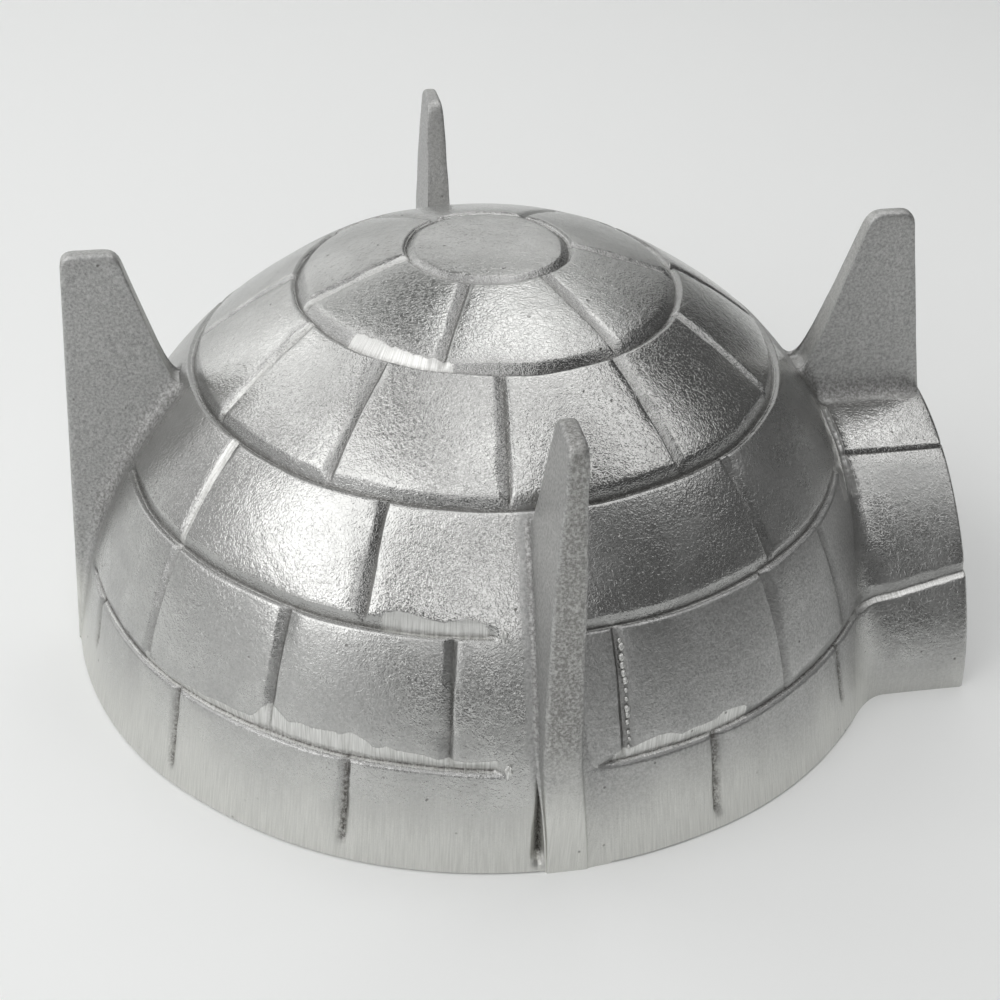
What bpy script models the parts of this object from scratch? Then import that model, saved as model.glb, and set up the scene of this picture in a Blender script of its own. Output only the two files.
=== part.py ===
# Cake mould for a snow house: a dome with an entrance tunnel and four legs, standing on its rim.
# The casting hangs on its legs when it is filled, so the dome and the tunnel are hollow and open
# at the rim. The crown is up, the tunnel points along +X and the floor is the plane z = 0.
import math

import bmesh
import bpy
from mathutils import Matrix, Vector

# Dome: outer sizes in metres
DOME_RADIUS = 0.1076
DOME_RISE = 0.1088
RIM_FLARE = 0.0024
WALL = 0.0045
# How far each course of blocks goes from the round of the ellipse (0) towards a straight run (1)
COURSE_FLATNESS = 0.65

# Ring grooves between the courses of blocks: angles in degrees down from the crown
RING_ANGLES = (10.8, 26.4, 44.0, 59.2, 76.0)
RING_DEPTH = 0.0018
RING_UPPER_FLANK = 0.0030
RING_LOWER_FLANK = 0.0014

# Block joints of each course: azimuths in degrees, the lower three courses alike on both sides
JOINT_DEPTH = 0.0015
JOINT_STOP = 0.0045
CROWN_COURSE = (-168.5, -112.5, -60.0, -5.4, 54.0, 122.0)
SECOND_COURSE = (-158.7, -128.4, -95.4, -62.2, -28.7, 3.0, 36.0, 70.0, 103.0, 137.0, 170.0)
THIRD_COURSE_HALF = (52.2, 86.5, 116.7, 150.5)
FOURTH_COURSE_HALF = (38.9, 55.0, 81.4, 103.7, 127.8, 150.4)
BAND_COURSE_HALF = (41.9, 68.6, 92.7, 116.5, 143.0, 166.4)

# Entrance tunnel: an arch with a closed end; a fullness of 2 would make it a half-circle
TUNNEL_RADIUS = 0.0600
TUNNEL_FULLNESS = 1.78
TUNNEL_REACH = 0.0095
TUNNEL_GROOVES = (-63.0, -28.0, 28.0, 63.0)
TUNNEL_FLANK = 0.0016
TUNNEL_EDGE = 0.0016

# Legs: flat fins that taper towards their tips
LEG_AZIMUTHS = {"leg_front": -90.0, "leg_left": 180.0, "leg_back": 90.0}
LEG_CLEARANCE = 0.0017
LEG_PROUD = 0.0003
LEG_OUTER_LEAN = 0.060
LEG_INNER_LEAN = 0.300
LEG_TIP_LENGTH = 0.0132
LEG_TIP_ROUNDING = 0.0020
LEG_TIP_THICKNESS = 0.0040
LEG_FOOT_THICKNESS = 0.0086
LEG_EDGE = 0.0012
LEG_FILLET = 0.0025
TUNNEL_LEG_LEAN = 0.165
TUNNEL_LEG_TIP_LENGTH = 0.0112
TUNNEL_LEG_FILLET = 0.0012

# How the pieces meet: each sits in a shallow seat in the wall that carries it
SEAT_DEPTH = 0.0020
GAP = 0.0003

# Fineness of the round shapes, how far a shape runs past what trims it, and which points are one
TURN_STEPS = 64
ARC_STEP = math.radians(5.4)
CORNER_STEPS = 4
PAST = 0.0050
MERGE = 0.00002

RIM_RADIUS = DOME_RADIUS + RIM_FLARE
TUNNEL_END = RIM_RADIUS + TUNNEL_REACH
LEG_TOP = DOME_RISE + LEG_CLEARANCE
LEG_REACH = RIM_RADIUS + LEG_PROUD
# A place well inside the dome, where the tunnel's and the legs' own shapes begin
INSIDE = 0.6 * RIM_RADIUS
RINGS = [math.radians(angle) for angle in RING_ANGLES]


def clear_scene():
    for old in list(bpy.data.objects):
        bpy.data.objects.remove(old, do_unlink=True)


def new_collection(name, hidden):
    collection = bpy.data.collections.new(name)
    bpy.context.scene.collection.children.link(collection)
    collection.hide_render = hidden
    return collection


def finish_for(name, colour, roughness):
    """One cast aluminium finish."""
    finish = bpy.data.materials.new(name)
    finish.use_nodes = True
    shader = finish.node_tree.nodes["Principled BSDF"]
    shader.inputs["Base Color"].default_value = (*colour, 1.0)
    shader.inputs["Metallic"].default_value = 1.0
    shader.inputs["Roughness"].default_value = roughness
    return finish


def place(obj, collection):
    """Puts an object in its collection. A cutter is drawn as wire and never rendered."""
    collection.objects.link(obj)
    obj.parent = frame
    if collection == cutters:
        obj.hide_render = True
        obj.display_type = "WIRE"
    return obj


def cut(target, *tools):
    for tool in tools:
        step = target.modifiers.new(tool.name, "BOOLEAN")
        step.operation = "DIFFERENCE"
        step.solver = "EXACT"
        step.object = tool


def even_steps(begin, end):
    """Angles from begin to end, both included, about one arc step apart."""
    count = max(1, round((end - begin) / ARC_STEP)) if end > begin else 0
    return [begin + (end - begin) * step / count for step in range(count)] + [end]


def notched_arc(begin, end, notches, lead, trail):
    """Stations along an arc, each an angle and how deep the surface is sunk there."""
    stations = []
    for notch in notches:
        stations += [(angle, 0.0) for angle in even_steps(begin, notch - lead)]
        stations.append((notch, RING_DEPTH))
        begin = notch + trail
    return stations + [(angle, 0.0) for angle in even_steps(begin, end)]


def ellipse_distance(angle, inset):
    """Distance from the centre of the floor to the dome's ellipse at an angle from the crown."""
    across = math.sin(angle) / (DOME_RADIUS - inset)
    upward = math.cos(angle) / (DOME_RISE - inset)
    return 1.0 / math.hypot(across, upward)


def dome_distance(angle, inset):
    """Distance from the centre of the floor to the dome's surface at an angle from the crown.

    Between two ring grooves it goes part of the way from the ellipse to the straight chord.
    """
    round_distance = ellipse_distance(angle, inset)
    bounds = [-RINGS[0], *RINGS, math.pi / 2]
    upper = max([bound for bound in bounds if bound <= angle], default=bounds[0])
    lower = min([bound for bound in bounds if bound > angle], default=bounds[-1])
    first, last = ellipse_distance(upper, inset), ellipse_distance(lower, inset)
    chord = first * last * math.sin(lower - upper)
    chord /= first * math.sin(angle - upper) + last * math.sin(lower - angle)
    return round_distance + COURSE_FLATNESS * (chord - round_distance)


def dome_point(angle, inset):
    """Radius and height of the dome's surface, moved in by the inset."""
    distance = dome_distance(angle, inset)
    return (distance * math.sin(angle), distance * math.cos(angle))


def sunk(point, depth):
    """A point moved straight towards the centre of the floor."""
    share = 1.0 - depth / math.hypot(*point)
    return (point[0] * share, point[1] * share)


def dome_profile(inset, drop, notched=True):
    """The dome's section from the crown down its outer side, then in along the floor to the axis.

    Below the last ring groove a straight band flares out to the rim, and on below it by the drop.
    """
    lead, trail = RING_UPPER_FLANK / DOME_RADIUS, RING_LOWER_FLANK / DOME_RADIUS
    stations = notched_arc(0.0, RINGS[-1] + trail, RINGS if notched else (), lead, trail)
    profile = [dome_point(angle, inset + sink) for angle, sink in stations]
    band_top, rim = Vector(profile[-1]), Vector((RIM_RADIUS - inset, 0.0))
    profile.append(band_top.lerp(rim, 1 + drop / band_top.y))
    profile.append((0.0, -drop))
    return profile


def turned(name, profile, collection):
    """A solid turned about the Z axis from a section of radii and heights.

    A cutter stands half a step round, so that its edges don't run along those of what it cuts.
    """
    mesh = bpy.data.meshes.new(name)
    edges = [(index, index + 1) for index in range(len(profile) - 1)]
    mesh.from_pydata([(radius, 0.0, height) for radius, height in profile], edges, [])
    solid = place(bpy.data.objects.new(name, mesh), collection)
    turn = solid.modifiers.new("turn", "SCREW")
    turn.steps = TURN_STEPS
    turn.render_steps = TURN_STEPS
    turn.use_merge_vertices = True
    turn.merge_threshold = MERGE
    if collection == cutters:
        solid.rotation_euler.z = math.pi / TURN_STEPS
    return solid


def as_mesh(name, curve, collection):
    """A curve made into an object with one closed mesh."""
    rough = bpy.data.objects.new(name + "_curve", curve)
    bpy.context.scene.collection.objects.link(rough)
    bpy.context.view_layer.update()
    evaluated = rough.evaluated_get(bpy.context.evaluated_depsgraph_get())
    mesh = bpy.data.meshes.new_from_object(evaluated)
    mesh.name = name
    bpy.data.objects.remove(rough, do_unlink=True)
    work = bmesh.new()
    work.from_mesh(mesh)
    bmesh.ops.remove_doubles(work, verts=work.verts, dist=MERGE)
    bmesh.ops.recalc_face_normals(work, faces=work.faces)
    work.to_mesh(mesh)
    work.free()
    return place(bpy.data.objects.new(name, mesh), collection)


def slab(name, outline, half_thickness, collection, edge=0.0):
    """A slab of a closed outline in the XY plane, as thick to either side, with rounded edges."""
    curve = bpy.data.curves.new(name, "CURVE")
    curve.dimensions = "2D"
    curve.fill_mode = "BOTH"
    curve.extrude = half_thickness - edge
    curve.bevel_depth = edge
    curve.bevel_resolution = 1
    curve.offset = -edge
    spline = curve.splines.new("POLY")
    spline.points.add(len(outline) - 1)
    for point, (across, up) in zip(spline.points, outline):
        point.co = (across, up, 0.0, 1.0)
    spline.use_cyclic_u = True
    return as_mesh(name, curve, collection)


def course_runs(inset):
    """The dome's section down each course of blocks, the last one stopping short of the rim."""
    runs = []
    for upper, lower in zip(RINGS, RINGS[1:]):
        runs.append([dome_point(angle, inset) for angle in even_steps(upper, lower)])
    top, rim = Vector(dome_point(RINGS[-1], inset)), Vector((RIM_RADIUS - inset, 0.0))
    runs.append([top, rim.lerp(top, JOINT_STOP / top.y)])
    return runs


def joint_bars(name, inset):
    """Bars of diamond section along the block joints: each cuts a V as deep as half its width."""
    courses = [CROWN_COURSE, SECOND_COURSE]
    for half in (THIRD_COURSE_HALF, FOURTH_COURSE_HALF, BAND_COURSE_HALF):
        courses.append([side * azimuth for azimuth in half for side in (-1, 1)])
    curve = bpy.data.curves.new(name, "CURVE")
    curve.dimensions = "3D"
    curve.twist_mode = "Z_UP"
    curve.bevel_depth = JOINT_DEPTH
    curve.bevel_resolution = 0
    curve.use_fill_caps = True
    for run, azimuths in zip(course_runs(inset), courses):
        for azimuth in map(math.radians, azimuths):
            spline = curve.splines.new("POLY")
            spline.points.add(len(run) - 1)
            for point, (radius, height) in zip(spline.points, run):
                point.co = (radius * math.cos(azimuth), radius * math.sin(azimuth), height, 1.0)
    return as_mesh(name, curve, cutters)


def arch_outline(inset, drop, notched=True):
    """The tunnel's section across X: an arch, a superellipse, with a notch at each groove."""
    flank = TUNNEL_FLANK / TUNNEL_RADIUS
    notches = [math.radians(angle) for angle in TUNNEL_GROOVES] if notched else ()
    power = TUNNEL_FULLNESS
    outline = []
    for angle, sink in notched_arc(-math.pi / 2, math.pi / 2, notches, flank, flank):
        across, up = math.sin(angle), max(0.0, math.cos(angle))
        radius = TUNNEL_RADIUS * (abs(across) ** power + up**power) ** (-1 / power) - inset - sink
        outline.append((radius * across, radius * up))
    for end, before in ((0, 1), (-1, -2)):
        foot, above = Vector(outline[end]), Vector(outline[before])
        outline[end] = above.lerp(foot, 1 + drop / above.y)
    return outline


def arch_solid(name, inset, drop, end, collection, notched=True, edge=0.0):
    """The tunnel's section drawn out along X from inside the dome to the end given."""
    begin = INSIDE - drop
    half = (end - begin) / 2
    solid = slab(name, arch_outline(inset, drop, notched), half, collection, edge)
    # The slab's X, Y and Z become the tunnel's Y, Z and X
    turn = Matrix(((0, 0, 1), (1, 0, 0), (0, 1, 0))).to_4x4()
    solid.data.transform(Matrix.Translation((begin + half, 0, 0)) @ turn)
    return solid


def arc(centre, radius, first, last):
    """Points of an arc about a centre, from the first angle to the last."""
    angles = [first + (last - first) * step / CORNER_STEPS for step in range(CORNER_STEPS + 1)]
    return [(centre.x + radius * math.cos(a), centre.y + radius * math.sin(a)) for a in angles]


def corner_arc(before, corner, after, radius):
    """The arc that rounds an outline's outer corner, where the outline turns to the left."""
    come = (Vector(corner) - Vector(before)).normalized()
    leave = (Vector(after) - Vector(corner)).normalized()
    turn = come.angle(leave)
    touch = Vector(corner) - come * radius * math.tan(turn / 2)
    first = math.atan2(-come.x, come.y)
    return arc(touch + radius * Vector((-come.y, come.x)), radius, first, first + turn)


def toe_fillet(tip, radius):
    """Points of the fillet where a leg's inner edge runs into the dome, from the edge down.

    The fillet's circle touches both the edge and the dome, so its centre is found along the line
    one radius beside the edge, one radius away from the dome.
    """
    down = Vector((-LEG_INNER_LEAN, -1.0)).normalized()
    aside = Vector((down.y, -down.x))
    start = Vector(tip) + radius * aside
    dome = DOME_RISE
    for _ in range(CORNER_STEPS):
        fall = start.dot(down)
        travel = -fall - math.sqrt(fall**2 + (dome + radius) ** 2 - start.length_squared)
        centre = start + travel * down
        dome = dome_distance(math.atan2(centre.x, centre.y), 0.0)
    first, last = math.atan2(-aside.y, -aside.x), math.atan2(-centre.y, -centre.x)
    return arc(centre, radius, first, last)


def leg_outline(foot, tip_outer, tip_length, fillet):
    """A leg's outline from its foot up the outer edge, over the rounded tip and down to its toe."""
    outer, inner = (tip_outer, LEG_TOP), (tip_outer - tip_length, LEG_TOP)
    toe = toe_fillet(inner, fillet)
    outline = foot + corner_arc(foot[-1], outer, inner, LEG_TIP_ROUNDING)
    outline += corner_arc(outer, inner, toe[0], LEG_TIP_ROUNDING) + toe
    return outline + [sunk(toe[-1], 2 * WALL)]


def seat_outline(toe, outer, low):
    """Outline of the seat that a leg needs in the walls, from one gap above its toe downwards."""
    angle = math.atan2(*toe) - GAP / math.hypot(*toe)
    lip = dome_point(angle, -PAST)
    return [sunk(dome_point(angle, 0.0), 2 * WALL), (INSIDE, low), (outer, low), (outer, lip[1]), lip]


def fin(name, outline, spare, collection, edge=0.0):
    """A fin of an outline of radii and heights in the plane y = 0, which thins towards its tip.

    The spare thickness goes on each side of it all the way up.
    """
    half = LEG_FOOT_THICKNESS / 2
    solid = slab(name, outline, half, collection, edge)
    solid.data.transform(Matrix.Rotation(math.pi / 2, 4, "X"))
    for vertex in solid.data.vertices:
        share = vertex.co.z / LEG_TOP
        thickness = LEG_FOOT_THICKNESS + (LEG_TIP_THICKNESS - LEG_FOOT_THICKNESS) * share
        vertex.co.y *= (thickness / 2 + spare) / half
    return solid


def leg_and_seat(name, foot, tip_outer, tip_length, fillet):
    """A leg with its full outline, and the cutter for the seat that it needs."""
    outline = leg_outline(foot, tip_outer, tip_length, fillet)
    leg = fin(name, outline, 0.0, mould, LEG_EDGE)
    toe, outer, low = outline[-2], foot[-1][0] + PAST, foot[0][1] - PAST
    seat = fin(name + "_seat", seat_outline(toe, outer, low), GAP, cutters)
    return leg, seat


clear_scene()
mould = new_collection("cake_mould", False)
cutters = new_collection("cake_mould_cutters", True)

# The dome's axis stands beside the origin, which is the middle of the area that the mould covers
frame = bpy.data.objects.new("cake_mould_frame", None)
mould.objects.link(frame)
frame.location = ((LEG_REACH - TUNNEL_END) / 2, 0.0, 0.0)

bpy.ops.mesh.primitive_cube_add(size=4 * RIM_RADIUS, location=(0.0, 0.0, -2 * RIM_RADIUS))
below_floor = bpy.context.object
below_floor.name = "below_floor"
bpy.context.collection.objects.unlink(below_floor)
place(below_floor, cutters)

# What a seat leaves standing in a wall, and the same one gap larger, which trims the piece in it
past_end = TUNNEL_END + PAST
dome_seat = turned("dome_seat", dome_profile(SEAT_DEPTH, 3 * PAST, False), cutters)
dome_core = turned("dome_core", dome_profile(SEAT_DEPTH - GAP, 2 * PAST, False), cutters)
tunnel_seat = arch_solid("tunnel_seat", SEAT_DEPTH, 3 * PAST, past_end, cutters, False)
tunnel_core = arch_solid("tunnel_core", SEAT_DEPTH - GAP, 2 * PAST, past_end, cutters, False)

# The cake's own shape, which hollows the dome and the tunnel and leaves ridges behind the grooves
dome_cake = turned("dome_cake", dome_profile(WALL, PAST), cutters)
cut(dome_cake, joint_bars("cake_joints", WALL))
tunnel_cake = arch_solid("tunnel_cake", WALL, 2 * PAST, TUNNEL_END - WALL, cutters)

legs = []
leg_seats = []
tip_outer = LEG_REACH - LEG_OUTER_LEAN * LEG_TOP
foot = [(INSIDE, -PAST), (LEG_REACH + LEG_OUTER_LEAN * PAST, -PAST)]
for name, azimuth in LEG_AZIMUTHS.items():
    leg, seat = leg_and_seat(name, foot, tip_outer, LEG_TIP_LENGTH, LEG_FILLET)
    leg.rotation_euler = seat.rotation_euler = (0.0, 0.0, math.radians(azimuth))
    cut(leg, dome_core, below_floor)
    cut(seat, dome_seat)
    legs.append(leg)
    leg_seats.append(seat)

# The fourth leg stands on the tunnel, flush with its closed end
low = TUNNEL_RADIUS - 2 * WALL
tip_outer = TUNNEL_END - TUNNEL_LEG_LEAN * (LEG_TOP - TUNNEL_RADIUS)
foot = [(INSIDE, low), (TUNNEL_END, low), (TUNNEL_END, TUNNEL_RADIUS)]
leg, top_seat = leg_and_seat("leg_tunnel", foot, tip_outer, TUNNEL_LEG_TIP_LENGTH, TUNNEL_LEG_FILLET)
cut(leg, dome_core, tunnel_core)
cut(top_seat, dome_seat, tunnel_seat)
legs.append(leg)

tunnel = arch_solid("entrance_tunnel", 0.0, PAST, TUNNEL_END, mould, edge=TUNNEL_EDGE)
cut(tunnel, tunnel_cake, dome_core, top_seat, below_floor)
tunnel_socket = arch_solid("tunnel_socket", -GAP, PAST, TUNNEL_END, cutters, False)
cut(tunnel_socket, dome_seat)

dome = turned("dome_shell", dome_profile(0.0, 0.0), mould)
cut(dome, joint_bars("dome_joints", 0.0), dome_cake, tunnel_cake, tunnel_socket)
cut(dome, top_seat, *leg_seats)

dome.data.materials.append(finish_for("cast_aluminium_dome", (0.62, 0.62, 0.61), 0.34))
tunnel.data.materials.append(finish_for("cast_aluminium_tunnel", (0.58, 0.58, 0.57), 0.36))
for leg in legs:
    leg.data.materials.append(finish_for("cast_aluminium_" + leg.name, (0.50, 0.50, 0.49), 0.45))
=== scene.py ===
import bpy
import numpy as np
from mathutils import Matrix, Vector


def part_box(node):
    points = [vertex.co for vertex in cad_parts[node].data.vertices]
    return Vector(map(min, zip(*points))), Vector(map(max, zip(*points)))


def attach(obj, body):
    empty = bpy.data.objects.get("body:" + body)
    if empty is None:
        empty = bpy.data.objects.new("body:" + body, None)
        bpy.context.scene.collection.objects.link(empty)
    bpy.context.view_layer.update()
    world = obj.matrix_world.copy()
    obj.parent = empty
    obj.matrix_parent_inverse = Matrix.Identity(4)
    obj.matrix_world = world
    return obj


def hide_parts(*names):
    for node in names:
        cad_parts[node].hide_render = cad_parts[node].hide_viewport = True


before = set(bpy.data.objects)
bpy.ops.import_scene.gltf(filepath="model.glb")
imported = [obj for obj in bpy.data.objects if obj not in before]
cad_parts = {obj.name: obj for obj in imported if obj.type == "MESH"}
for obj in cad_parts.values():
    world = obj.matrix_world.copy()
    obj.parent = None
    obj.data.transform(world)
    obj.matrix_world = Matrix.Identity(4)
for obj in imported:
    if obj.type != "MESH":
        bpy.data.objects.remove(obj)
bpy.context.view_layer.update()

# Cake mould: a sand-cast aluminium snow-block dome with an entrance tunnel and four legs.
# Everything is in metres, and the dome's axis stands at axisX in the frame.

mm = 0.001
legLow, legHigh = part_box("leg_front")
axisX = (legLow[0] + legHigh[0]) / 2
legTop = legHigh[2]
legReach = -legLow[1]
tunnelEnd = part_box("entrance_tunnel")[1][0] - axisX
print("cake mould: frame loaded, axis at", round(axisX / mm, 2), "mm")

# Shared helpers

def smooth(value, low, high):
    # 0 below low, 1 above high, an S curve between
    t = np.clip((value - low) / (high - low), 0, 1)
    return t * t * (3 - 2 * t)


def hump(value, start, full, fade, end):
    # 0 before start, 1 from full to fade, and 0 again after end: a rising S curve times a falling one
    return smooth(value, start, full) * (1 - smooth(value, fade, end))


def wander(turn, seed, finest=60):
    # A restless line round a full turn: sines of 2, 3, 5, 8 ... waves, weaker as they get finer
    waves = np.array([2, 3, 5, 8, 13, 21, 34, 55, 89, 144, 233])
    waves = waves[waves <= finest]
    phases = np.random.default_rng(seed).uniform(0, 2 * np.pi, len(waves))
    weights = waves ** -0.35
    lines = np.sin(np.asarray(turn)[..., None] * waves + phases) * weights
    return lines.sum(-1) / np.sqrt((weights ** 2).sum())


def vee(share):
    # Depth of a V groove, 1 at its bottom and 0 at its edges, which are rounded off a little
    soft = 0.07
    return np.where(share > soft, share, np.clip(share + soft, 0, None) ** 2 / (4 * soft))


def unevenness(place):
    # Slow hills and hollows of a hand-made pattern, about 0.2 mm, from sines of the place in mm
    x, y, z = np.moveaxis(place, -1, 0) / mm
    hills = np.sin(x / 9.1 + 1.3 * np.sin(y / 13.7 + 2.0)) + np.sin(y / 10.3 + np.sin(z / 12.1 + 0.6))
    return 0.10 * mm * (hills + np.sin(z / 8.3 + 1.7 * np.sin(x / 16.9 + 4.0)))


def bend(first, corner, last, count):
    # Points on the curve (1-t)^2 first + 2t(1-t) corner + t^2 last, with a new axis in front
    t = np.linspace(0, 1, count).reshape((-1,) + (1,) * np.ndim(first))
    return (1 - t) ** 2 * first + 2 * t * (1 - t) * corner + t ** 2 * last


def straight(first, last, count):
    # Evenly spaced points between two places, both left out
    t = (np.arange(1, count + 1) / (count + 1)).reshape((-1,) + (1,) * np.ndim(first))
    return first + (last - first) * t


def travelled(path):
    # How far along a path each of its points is: the lengths of the steps before it, summed
    return np.concatenate([[0], np.cumsum(np.linalg.norm(np.diff(path, axis=0), axis=1))])


def turnsOf(place):
    # A place's angle down from the crown, and its azimuth round from +X
    x, y, z = np.moveaxis(place, -1, 0)
    return np.arctan2(np.hypot(x, y), z), np.arctan2(y, x)


def sunkBy(place, depth):
    # Moves places towards the floor's centre: each is scaled by 1 - depth / length
    return place * (1 - depth / np.linalg.norm(place, axis=-1, keepdims=True))


def padded(masks, rows):
    # Masks of an outside with rows of zeros added for the inside
    return {mask: np.concatenate([outer, np.zeros((rows, outer.shape[1]))]) for mask, outer in masks.items()}


def gridPiece(name, points, uv, masks, caps=(), closeRows=False):
    # A grid of rows x columns made into one closed mesh: like points become one, and a square that
    # has lost a corner becomes a triangle. caps are whole columns that are filled with one face.
    rows, columns = points.shape[:2]
    index = np.arange(rows * columns).reshape(rows, columns)
    if closeRows:
        index = np.vstack([index, index[:1]])
    square = np.stack([index[:-1, :-1], index[1:, :-1], index[1:, 1:], index[:-1, 1:]], -1).reshape(-1, 4)
    flat = points.reshape(-1, 3)
    _, first, same = np.unique(np.round(flat / mm, 4), axis=0, return_index=True, return_inverse=True)
    same = same.reshape(-1)
    merged = same[square]
    twin = merged == np.roll(merged, -1, axis=1)
    faces = [square[twin.sum(1) == 0]]
    for corner in range(4):
        keep = [side for side in range(4) if side != corner]
        faces.append(square[twin[:, corner] & (twin.sum(1) == 1)][:, keep])
    corners = [face for block in faces for face in block.tolist()]
    for column, turned in caps:
        loop = index[:rows, column]
        ring = loop[np.concatenate([[True], same[loop][1:] != same[loop][:-1]])]
        corners.append((ring[::-1] if turned else ring).tolist())
    mesh = bpy.data.meshes.new(name)
    sizes = np.array([len(face) for face in corners])
    used = np.concatenate([np.asarray(face) for face in corners])
    mesh.vertices.add(len(first))
    mesh.vertices.foreach_set("co", (flat[first] + [axisX, 0, 0]).astype(np.float32).ravel())
    mesh.loops.add(len(used))
    mesh.loops.foreach_set("vertex_index", same[used].astype(np.int32))
    mesh.polygons.add(len(sizes))
    mesh.polygons.foreach_set("loop_start", (np.cumsum(sizes) - sizes).astype(np.int32))
    mesh.update(calc_edges=True)
    layer = mesh.uv_layers.new(name="skin")
    layer.data.foreach_set("uv", uv.reshape(-1, 2)[used].astype(np.float32).ravel())
    for maskName, mask in masks.items():
        attribute = mesh.attributes.new(maskName, "FLOAT", "POINT")
        values = np.broadcast_to(mask, (rows, columns)).reshape(-1)[first]
        attribute.data.foreach_set("value", values.astype(np.float32))
    mesh.validate()
    mesh.shade_smooth()
    mesh.set_sharp_from_angle(angle=np.radians(50))
    piece = bpy.data.objects.new(name, mesh)
    bpy.context.scene.collection.objects.link(piece)
    return piece


# The dome

dome = {
    "radius": 107.6 * mm, "rise": 108.8 * mm, "rimRadius": 110.0 * mm, "wall": 4.5 * mm,
    # each course from the crown's own to the rim's band: 0 follows the round meridian, 1 is straight
    "flatness": np.array([0.5, 0.4, 0.4, 0.3, 0.05, 1.0]),
    "shoulder": 0.12 * mm, "shoulderWidth": 4.0 * mm,        # how blocks fall away towards their grooves
    "rings": np.radians([10.8, 26.4, 44.0, 59.2, 76.0]),     # grooves between courses, from the crown
    "ringDepth": np.array([1.1, 1.55, 1.65, 1.45, 1.35]) * mm,
    "ringUpper": np.array([2.2, 3.0, 3.2, 2.6, 2.6]) * mm,   # the wide flank above the bottom
    "ringLower": np.array([1.0, 0.9, 0.9, 1.0, 1.0]) * mm,   # the narrow one below it
    "ringRagged": np.array([0.06, 0.12, 0.07, 0.14, 0.30]),
    "ringWander": 0.21 * mm,
    # stretches that were opened up with a file: ring, from and to azimuth, how much wider, how bright
    "ringFiled": [(1, -144, -109, 1.2, 0.9), (3, -115, -98, 1.5, 1.0), (4, -152, -128, 0.8, 1.0),
                  (4, -131, -94, 2.0, 1.0), (4, -84, -62, 1.6, 1.0)],
    # the upright joints, whose narrow flank lies nearer the front leg and which stop above the rim
    "jointDepth": 1.15 * mm, "jointWide": 2.3 * mm, "jointNarrow": 1.0 * mm, "jointStop": 4.5 * mm,
    "faintJoints": (38.9, -38.9),
    "highlightJoints": (-168.5, -158.7, -150.5),                # painted highlight: their flanks get the light filed tone, where they face the light
    "joints": [
        [-168.5, -112.5, -60.0, -5.4, 54.0, 122.0],
        [-158.7, -128.4, -95.4, -62.2, -28.7, 3.0, 36.0, 70.0, 103.0, 137.0, 170.0],
        [52.2, 86.5, 116.7, 150.5, -52.2, -86.5, -116.7, -150.5],
        [38.9, 55.0, 81.4, 103.7, 127.8, 150.4, -38.9, -55.0, -81.4, -103.7, -127.8, -150.4],
        [41.9, 68.6, 92.5, 116.5, 143.0, 166.4, -41.9, -68.6, -92.5, -116.5, -143.0, -166.4],
    ],
    "shortJoints": {-41.9: 10.0 * mm, -166.4: 13.0 * mm},
    # the crevice beside the front leg's foot opens from the lowest ring down
    "crevice": -92.5, "creviceOpens": 24 * mm, "creviceStop": 3.0 * mm,
    # the grid: columns round the dome, and how far apart its rows are in each course
    "evenColumns": 217, "outerSpacing": np.array([3.0, 2.6, 2.3, 1.9, 1.6, 2.0]) * mm,
    "innerSpacing": 4.5 * mm,
}

tunnel = {
    "radius": 60.0 * mm, "fullness": 1.78, "wall": 4.5 * mm, "edge": 1.2 * mm,
    "grooveTurn": np.radians([24.5, 63.0]), "grooveDepth": np.array([0.7, 1.3]) * mm,
    "grooveUpper": np.array([1.0, 3.0]) * mm, "grooveLower": np.array([0.9, 1.2]) * mm,
    "grooveTilt": np.array([0.0, 0.17]), "tiltFrom": 98.0 * mm,     # how they rise towards the end
    # a chisel cut along the top of the corner with the dome, towards -Y: it left a torn ridge on the
    # tunnel and a ragged ditch in the dome. Each starts, is full, fades and ends at these turns
    "chiselled": np.radians([8.5, 10.5, 33.0, 40.0]), "ridgeLift": 0.75 * mm, "ridgeNotch": 2.3 * mm,
    "ditchTurns": np.radians([9, 12, 34, 42]), "ditchAway": 2.2 * mm, "ditchHalf": 2.6 * mm,
    "ditchDepth": 1.0 * mm,
    # fillets where it runs into the dome, by the turn from the crown: along the arch, over the dome
    "filletTurn": np.radians([0, 12, 24, 38, 50, 70, 90]),
    "filletArch": np.array([2.5, 2.2, 2.2, 4.0, 7.5, 8.0, 5.0]) * mm,
    "filletDome": np.array([2.5, 1.8, 1.8, 3.5, 6.0, 8.0, 9.5]) * mm,
}


def ellipse(turn, inset):
    # Radius of the dome's ellipse at an angle down from the crown: 1 / hypot(sin / a, cos / b)
    return 1 / np.hypot(np.sin(turn) / (dome["radius"] - inset), np.cos(turn) / (dome["rise"] - inset))


def domeReach(down, inset):
    # Distance from the floor's centre at an angle down from the crown: an ellipse's radius, taken
    # part of the way to the chord r1 r2 sin(b-a) / (r1 sin(t-a) + r2 sin(b-t)) between two rings
    bounds = np.concatenate([[-dome["rings"][0]], dome["rings"], [np.pi / 2]])
    ends = ellipse(bounds, inset)
    ends[-1] = dome["rimRadius"] - inset
    course = np.clip(np.searchsorted(bounds, down, "right") - 1, 0, len(bounds) - 2)
    a, b, near, far = bounds[course], bounds[course + 1], ends[course], ends[course + 1]
    chord = near * far * np.sin(b - a) / (near * np.sin(down - a) + far * np.sin(b - down))
    return ellipse(down, inset) + dome["flatness"][course] * (chord - ellipse(down, inset))


def archRadius(turn):
    # The tunnel's arch: a superellipse's radius at an angle from its crown
    power = tunnel["fullness"]
    return tunnel["radius"] * (np.abs(np.sin(turn)) ** power + np.abs(np.cos(turn)) ** power) ** (-1 / power)


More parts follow.
